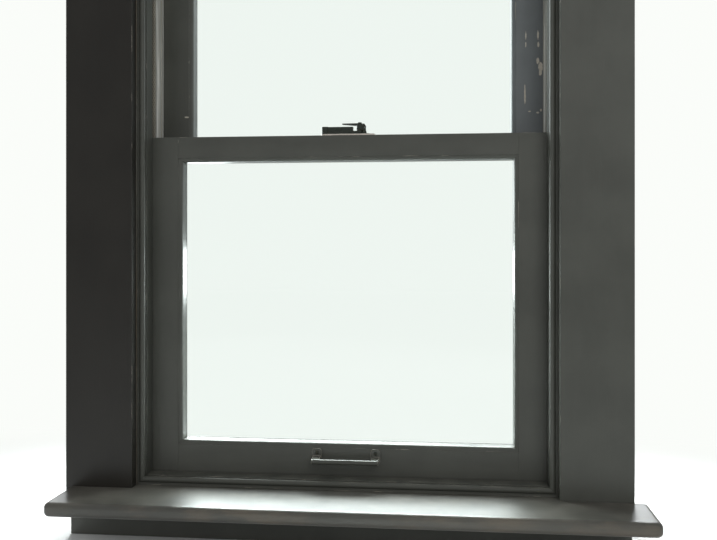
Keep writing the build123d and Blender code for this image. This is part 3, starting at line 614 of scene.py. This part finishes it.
def tube(name, stations, radius, material):
    """A round tube through stations, each a middle, a sideways direction and a length along the cord."""
    verts, uvs, faces = [], [], []
    for middle, side, run in stations:
        for k in range(CORD_SIDES + 1):
            angle = 2 * math.pi * k / CORD_SIDES
            verts.append(middle + (side * math.cos(angle) + BACK * math.sin(angle)) * radius)
            uvs.append((k / CORD_SIDES, run))
    row = CORD_SIDES + 1
    for i in range(len(stations) - 1):
        for k in range(CORD_SIDES):
            a = i * row + k
            faces.append((a, a + row, a + row + 1, a + 1))
    obj = add_mesh(name, verts, faces, material)
    layer = obj.data.uv_layers.new(name="run")
    for loop in obj.data.loops:
        layer.data[loop.index].uv = uvs[loop.vertex_index]
    return obj


def knot_drop(sash, side):
    """How far a cord's knot is under its axle; all cords are as long, so a lower weight has a nearer knot."""
    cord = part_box(f"lower_sash_cord_{side}")
    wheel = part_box(f"lower_pulley_wheel_{side}")
    lower_drop = (wheel[0].z + wheel[1].z) / 2 - cord[0].z - (cord[1].y - cord[0].y) / 2
    return lower_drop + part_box(f"{sash}_weight_{side}")[1].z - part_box(f"lower_weight_{side}")[1].z


def make_cord(sash, side, sign, material):
    """A cord in four pieces: the run to its sash, the bend on the wheel, the run to its weight, the knot."""
    name = f"{sash}_cord_{side}"
    node = f"{sash}_sash_cord_{side}"
    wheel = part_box(f"{sash}_pulley_wheel_{side}")
    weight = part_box(f"{sash}_weight_{side}")
    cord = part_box(node)
    axle = (wheel[0] + wheel[1]) / 2
    x_weight = (weight[0].x + weight[1].x) / 2
    pitch = abs(x_weight - axle.x)
    radius = cord[1].z - axle.z - pitch
    knot_radius = (cord[1].y - cord[0].y) / 2
    down = knot_drop(sash, side)
    leaves = Vector((axle.x - sign * pitch, axle.y, axle.z))
    tied = Vector((leaves.x, axle.y, axle.z - down))
    runs = tube(name + "_sash_run", [(leaves, RIGHT, 0.0), (tied, RIGHT, -down)], radius, material)
    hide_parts(node)
    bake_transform(runs)
    over_weight = Vector((x_weight, axle.y, axle.z))
    in_weight = Vector((x_weight, axle.y, weight[1].z - CORD_IN_WEIGHT))
    stations = [(over_weight, RIGHT, 0.0), (in_weight, RIGHT, in_weight.z - axle.z)]
    fall = tube(name + "_weight_run", stations, radius, material)
    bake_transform(fall)
    bend = []
    for i in range(BEND_STEPS + 1):
        angle = math.pi * i / BEND_STEPS
        out = Vector((-sign * math.cos(angle), 0, math.sin(angle)))
        bend.append((axle + out * pitch, out, angle * pitch))
    over = tube(name + "_bend", bend, radius, material)
    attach(over, "frame")
    knot = make_knot(name + "_knot", tied, knot_radius, radius, material)
    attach(knot, f"{sash}_sash")


def make_knot(name, middle, size, radius, material):
    """A stopper knot pulled tight: one closed strand that crosses itself three times."""
    curve = bpy.data.curves.new(name + "_line", "CURVE")
    curve.dimensions = "3D"
    curve.bevel_depth = radius * KNOT_STRAND
    curve.bevel_resolution = 4
    curve.resolution_u = 8
    spline = curve.splines.new("NURBS")
    spline.points.add(KNOT_POINTS - 1)
    reach = (size - curve.bevel_depth) * KNOT_LOOP
    for i, point in enumerate(spline.points):
        turn = 2 * math.pi * i / KNOT_POINTS
        out = reach * (2 + math.cos(3 * turn)) / 3
        place = Vector((out * math.cos(2 * turn), out * math.sin(2 * turn), reach * math.sin(3 * turn)))
        point.co = (*(middle + place), 1.0)
    spline.use_cyclic_u = True
    spline.order_u = 4
    strand = add_object(name + "_strand", curve)
    mesh = evaluated_mesh(strand)
    mesh.materials.clear()
    mesh.materials.append(material)
    knot = add_object(name, mesh)
    bpy.data.objects.remove(strand)
    if not mesh.uv_layers:
        mesh.uv_layers.new(name="run")
    return knot


# A screw head in parts of its radius: rows across it, columns each side of its middle, and its heights
HEAD_ROWS = (0.97, 0.8, 0.5)
HEAD_HALF_COLUMNS = 5
HEAD_DOME = 0.5
HEAD_DOME_FALL = 0.9
HEAD_DOME_SUNK = 0.1
HEAD_SLOT_FLOOR = 0.1
HEAD_SLOT_HALF = 0.13
HEAD_SUNK = 0.12

# Screws of the pulleys, the pocket pieces and the lift
FRAME_SCREW_RADIUS = 3.6 * MM
PULLEY_SCREW_FROM_MIDDLE = 0.42
POCKET_SCREW_FROM_END = 12 * MM
LIFT_SCREW_RADIUS = 2.6 * MM
LIFT_SCREW_UNDER_TOP = 5.5 * MM
LIFT_FOOT_THICK = 3.0 * MM
LIFT_SCREWS_X = (-37 * MM, 41 * MM)


def screw_head():
    """A raised slotted head of radius 1, closed all round, standing on height 0 with its slot along X."""
    rows = [(-y, False) for y in (*HEAD_ROWS, HEAD_SLOT_HALF)] + [(-HEAD_SLOT_HALF, True)]
    rows += [(-y, in_slot) for y, in_slot in reversed(rows)]
    quarter = math.pi / 2 / HEAD_HALF_COLUMNS
    across = [math.sin(quarter * i) for i in range(-HEAD_HALF_COLUMNS, HEAD_HALF_COLUMNS + 1)]
    wide, last, last_row = len(across), len(across) - 1, len(rows) - 1
    verts, faces = [], []
    for y, in_slot in rows:
        for u in across:
            x = u * math.sqrt(1 - y * y)
            fall = math.sqrt(max(0.0, 1.0 - HEAD_DOME_FALL * (x * x + y * y)))
            verts.append((x, y, HEAD_SLOT_FLOOR if in_slot else HEAD_DOME * fall - HEAD_DOME_SUNK))
    for i in range(last_row):
        for j in range(last):
            a = i * wide + j
            faces.append([a, a + 1, a + wide + 1, a + wide])
    edge = list(range(last)) + [i * wide + last for i in range(last_row)]
    edge += [last_row * wide + j for j in range(last, 0, -1)]
    edge += [i * wide for i in range(last_row, 0, -1)]
    feet = {}
    for v in edge:
        key = verts[v][:2]
        if key not in feet:
            feet[key] = len(verts)
            verts.append((*key, -HEAD_SUNK))
    foot = {v: feet[verts[v][:2]] for v in edge}
    above = []
    for a, b in zip(edge, edge[1:] + edge[:1]):
        if foot[a] == foot[b] and verts[b][2] < verts[a][2]:
            faces[-1].insert(2, b)
        elif foot[a] == foot[b]:
            above = [a]
        else:
            faces.append([foot[a], foot[b], b, a] + above)
            above = []
    faces.append(list(reversed(feet.values())))
    return verts, faces


def make_screw_tree():
    """Geometry Nodes: a head on every point, along the point's facing, each turned by chance about its axis."""
    tree = bpy.data.node_groups.new("screws_on_points", "GeometryNodeTree")
    sockets = {"Geometry": "Geometry", "Head": "Object", "Radius": "Float", "Seed": "Int", "Finish": "Material"}
    for label, kind in sockets.items():
        tree.interface.new_socket(label, in_out="INPUT", socket_type="NodeSocket" + kind)
    tree.interface.new_socket("Geometry", in_out="OUTPUT", socket_type="NodeSocketGeometry")
    g = Graph(tree)
    begin = g.node("NodeGroupInput").outputs
    facing = g.node("GeometryNodeInputNamedAttribute", {"Name": "facing"}, data_type="FLOAT_VECTOR")
    aligned = g.node("FunctionNodeAlignRotationToVector", {"Vector": facing.outputs["Attribute"]}, axis="Z")
    head = g.node("GeometryNodeObjectInfo", {"Object": begin["Head"]}).outputs["Geometry"]
    keys = {"Points": begin["Geometry"], "Instance": head, "Rotation": aligned.outputs["Rotation"]}
    heads = g.node("GeometryNodeInstanceOnPoints", keys).outputs[0]
    keys = {"Instances": heads, "Scale": g.alike(begin["Radius"])}
    sized = g.node("GeometryNodeScaleInstances", keys).outputs[0]
    turn = g.node("FunctionNodeRandomValue", {2: 0.0, 3: math.pi, "Seed": begin["Seed"]}, data_type="FLOAT")
    spin = g.node("ShaderNodeCombineXYZ", {2: turn.outputs[1]}).outputs[0]
    keys = {"Instances": sized, "Rotation": spin, "Local Space": True}
    turned = g.node("GeometryNodeRotateInstances", keys).outputs[0]
    real = g.node("GeometryNodeRealizeInstances", {"Geometry": turned}).outputs[0]
    done = g.node("GeometryNodeSetMaterial", {"Geometry": real, "Material": begin["Finish"]}).outputs[0]
    g.node("NodeGroupOutput", {"Geometry": done})
    return tree


def make_screws(name, body, tree, head, radius, seed, places, material):
    """One mesh of screw heads for a body; each place is a point and the way that its head faces."""
    points = bpy.data.meshes.new(name + "_points")
    points.from_pydata([place for place, _ in places], [], [])
    facing = points.attributes.new("facing", "FLOAT_VECTOR", "POINT")
    for item, (_, way) in zip(facing.data, places):
        item.vector = way
    holder = add_object(name + "_points", points)
    modifier = holder.modifiers.new("screws", "NODES")
    modifier.node_group = tree
    given = {"Head": head, "Radius": radius, "Seed": seed, "Finish": material}
    for item in tree.interface.items_tree:
        if item.in_out == "INPUT" and item.name in given:
            modifier[item.identifier] = given[item.name]
    mesh = evaluated_mesh(holder)
    bpy.data.objects.remove(holder)
    screws = add_object(name, mesh)
    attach(screws, body)


def make_fixings(finishes):
    """The screws of the pulleys' face plates and of the pocket pieces, and those of the lift's feet."""
    tree = make_screw_tree()
    steel, bronze = finishes["steel"], finishes["bronze"]
    verts, faces = screw_head()
    head = add_mesh("screw_head", verts, faces, steel, smooth=False)
    on_frame = []
    for side, sign in SIDES.items():
        inward = (-sign, 0, 0)
        for sash in SASHES:
            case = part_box(f"{sash}_pulley_case_{side}")
            x_plate = case[0].x if sign > 0 else case[1].x
            middle = (case[0] + case[1]) / 2
            away = (case[1].z - case[0].z) * PULLEY_SCREW_FROM_MIDDLE
            on_frame += [((x_plate, middle.y, middle.z + up), inward) for up in (-away, away)]
        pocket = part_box(f"pocket_piece_{side}")
        x_face = pocket[0].x if sign > 0 else pocket[1].x
        y_middle = (pocket[0].y + pocket[1].y) / 2
        for z in (pocket[0].z + POCKET_SCREW_FROM_END, pocket[1].z - POCKET_SCREW_FROM_END):
            on_frame.append(((x_face, y_middle, z), inward))
    make_screws("frame_screws", "frame", tree, head, FRAME_SCREW_RADIUS, 3, on_frame, steel)
    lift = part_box("sash_lift")
    y_foot, z_screw = lift[1].y - LIFT_FOOT_THICK, lift[1].z - LIFT_SCREW_UNDER_TOP
    on_lift = [((x, y_foot, z_screw), (0, -1, 0)) for x in LIFT_SCREWS_X]
    make_screws("lift_screws", "lower_sash", tree, head, LIFT_SCREW_RADIUS, 5, on_lift, bronze)
    bpy.data.objects.remove(head)


# Studio, in metres

BACKDROP = (0.96, 0.98, 0.95, 1.0)
WORLD_TINT = (0.96, 0.98, 1.0, 1.0)
WORLD_STRENGTH = 0.3
ROOM_WHITE = (1, 1, 1)
GARDEN_TINT = (0.95, 0.99, 1.0)

# Lamps: place, what it is aimed at, size, brightness with 1 for white, colour, seen in polished surfaces
LAMPS = {
    "room_light": ((0.6, -1.6, 1.1), (0.05, 0, 0.4), (1.2, 1.2), 3.9, ROOM_WHITE, False),
    "room_fill": ((-1.2, -1.8, 1.0), (0, 0, 0.5), (1.8, 1.8), 1.0, ROOM_WHITE, False),
    "garden_light": ((-0.55, 1.7, 1.05), (0, 0, 0.3), (1.5, 1.3), 3.6, GARDEN_TINT, True),
    "garden_left_light": ((-0.36, 0.3, 0.5), (0.22, -0.03, 0.45), (0.3, 0.9), 8.5, GARDEN_TINT, True),
    "garden_right_light": ((0.36, 0.3, 0.5), (-0.22, -0.03, 0.45), (0.3, 0.9), 2.6, GARDEN_TINT, True),
    "sky_on_board_light": ((0, 0.22, 0.34), (0, 0.06, 0), (0.9, 0.16), 25.0, GARDEN_TINT, True),
}

# The floor: half its width, its greys, where it starts to fade and has faded, and how much sooner behind
FLOOR_HALF = 6.0
FLOOR_GREYS = (0.66, 0.67, 0.66, 1), (0.72, 0.73, 0.72, 1)
FLOOR_FADES = 0.7, 2.2
FLOOR_SHORTER_BEHIND = 2.6

CAMERA_PLACE = (0.134, -1.162, 0.386)
CAMERA_TURN = math.radians(5.95)
CAMERA_FOCAL_PIXELS = 840.0
CAMERA_SENSOR_MM = 36.0
PICTURE_WIDTH, HORIZON_ABOVE_MIDDLE = 717.0, 25.0


def make_camera():
    data = bpy.data.cameras.new("camera")
    data.sensor_width = CAMERA_SENSOR_MM
    data.lens = CAMERA_FOCAL_PIXELS / PICTURE_WIDTH * data.sensor_width
    data.shift_y = -HORIZON_ABOVE_MIDDLE / PICTURE_WIDTH
    camera = add_object("camera", data)
    camera.location = CAMERA_PLACE
    camera.rotation_euler = (math.radians(90), 0, CAMERA_TURN)
    bpy.context.scene.camera = camera


def make_lamps():
    """Soft lamps in the room, kept out of the panes' reflections, and the bright outdoors behind the window."""
    for name, (place, aim, size, brightness, colour, in_polish) in LAMPS.items():
        data = bpy.data.lights.new(name, "AREA")
        data.shape = "RECTANGLE"
        data.size, data.size_y = size
        data.energy = brightness * math.pi * size[0] * size[1]
        data.color = colour
        lamp = add_object(name, data)
        lamp.location = place
        lamp.rotation_euler = (Vector(aim) - Vector(place)).to_track_quat("-Z", "Y").to_euler()
        lamp.visible_camera = False
        lamp.visible_transmission = False
        lamp.visible_glossy = in_polish


def seen_ray(g):
    """1 for what the eye sees, through a pane too, and 0 for the light that surfaces gather."""
    ray = g.node("ShaderNodeLightPath").outputs
    return g.math("MAXIMUM", ray["Is Camera Ray"], ray["Is Transmission Ray"])


def make_world():
    """Pale backdrop to the eye and through the panes, and a dimmer plain light on the surfaces."""
    world = bpy.data.worlds.new("studio")
    world.use_nodes = True
    g = Graph(world.node_tree)
    world.node_tree.nodes.clear()
    seen_light = g.node("ShaderNodeBackground", {"Color": BACKDROP, "Strength": 1.0})
    given_light = g.node("ShaderNodeBackground", {"Color": WORLD_TINT, "Strength": WORLD_STRENGTH})
    both = g.node("ShaderNodeMixShader", {0: seen_ray(g), 1: given_light.outputs[0], 2: seen_light.outputs[0]})
    g.node("ShaderNodeOutputWorld", {"Surface": both.outputs[0]})
    bpy.context.scene.world = world


def make_floor():
    """Pale floor that takes the window's shadow and, further off, runs into the backdrop."""
    f = Finish("studio_floor")
    g = f.graph
    f.set(Base_Color=g.mix(g.noise(f.position, 1.5, detail=2.0), *FLOOR_GREYS), Roughness=0.8)
    behind = g.math("MULTIPLY", g.math("MAXIMUM", g.parts(f.position)[1], 0.0), FLOOR_SHORTER_BEHIND)
    far = g.span(g.math("ADD", g.vector("LENGTH", f.position), behind), *FLOOR_FADES)
    glow = g.node("ShaderNodeEmission", {"Color": BACKDROP, "Strength": 1.0})
    f.blend_shader(g.math("MULTIPLY", far, seen_ray(g)), glow.outputs[0])
    half = FLOOR_HALF
    corners = [(-half, -half, 0), (half, -half, 0), (half, half, 0), (-half, half, 0)]
    add_mesh("floor", corners, [(0, 1, 2, 3)], f.material)


make_camera()
make_world()
make_lamps()
make_floor()
finishes = make_finishes()
dress_nodes(finishes)
for sash in SASHES:
    for side, sign in SIDES.items():
        make_cord(sash, side, sign, finishes["cotton"])
make_fixings(finishes)

bpy.context.scene.view_settings.view_transform = "Standard"
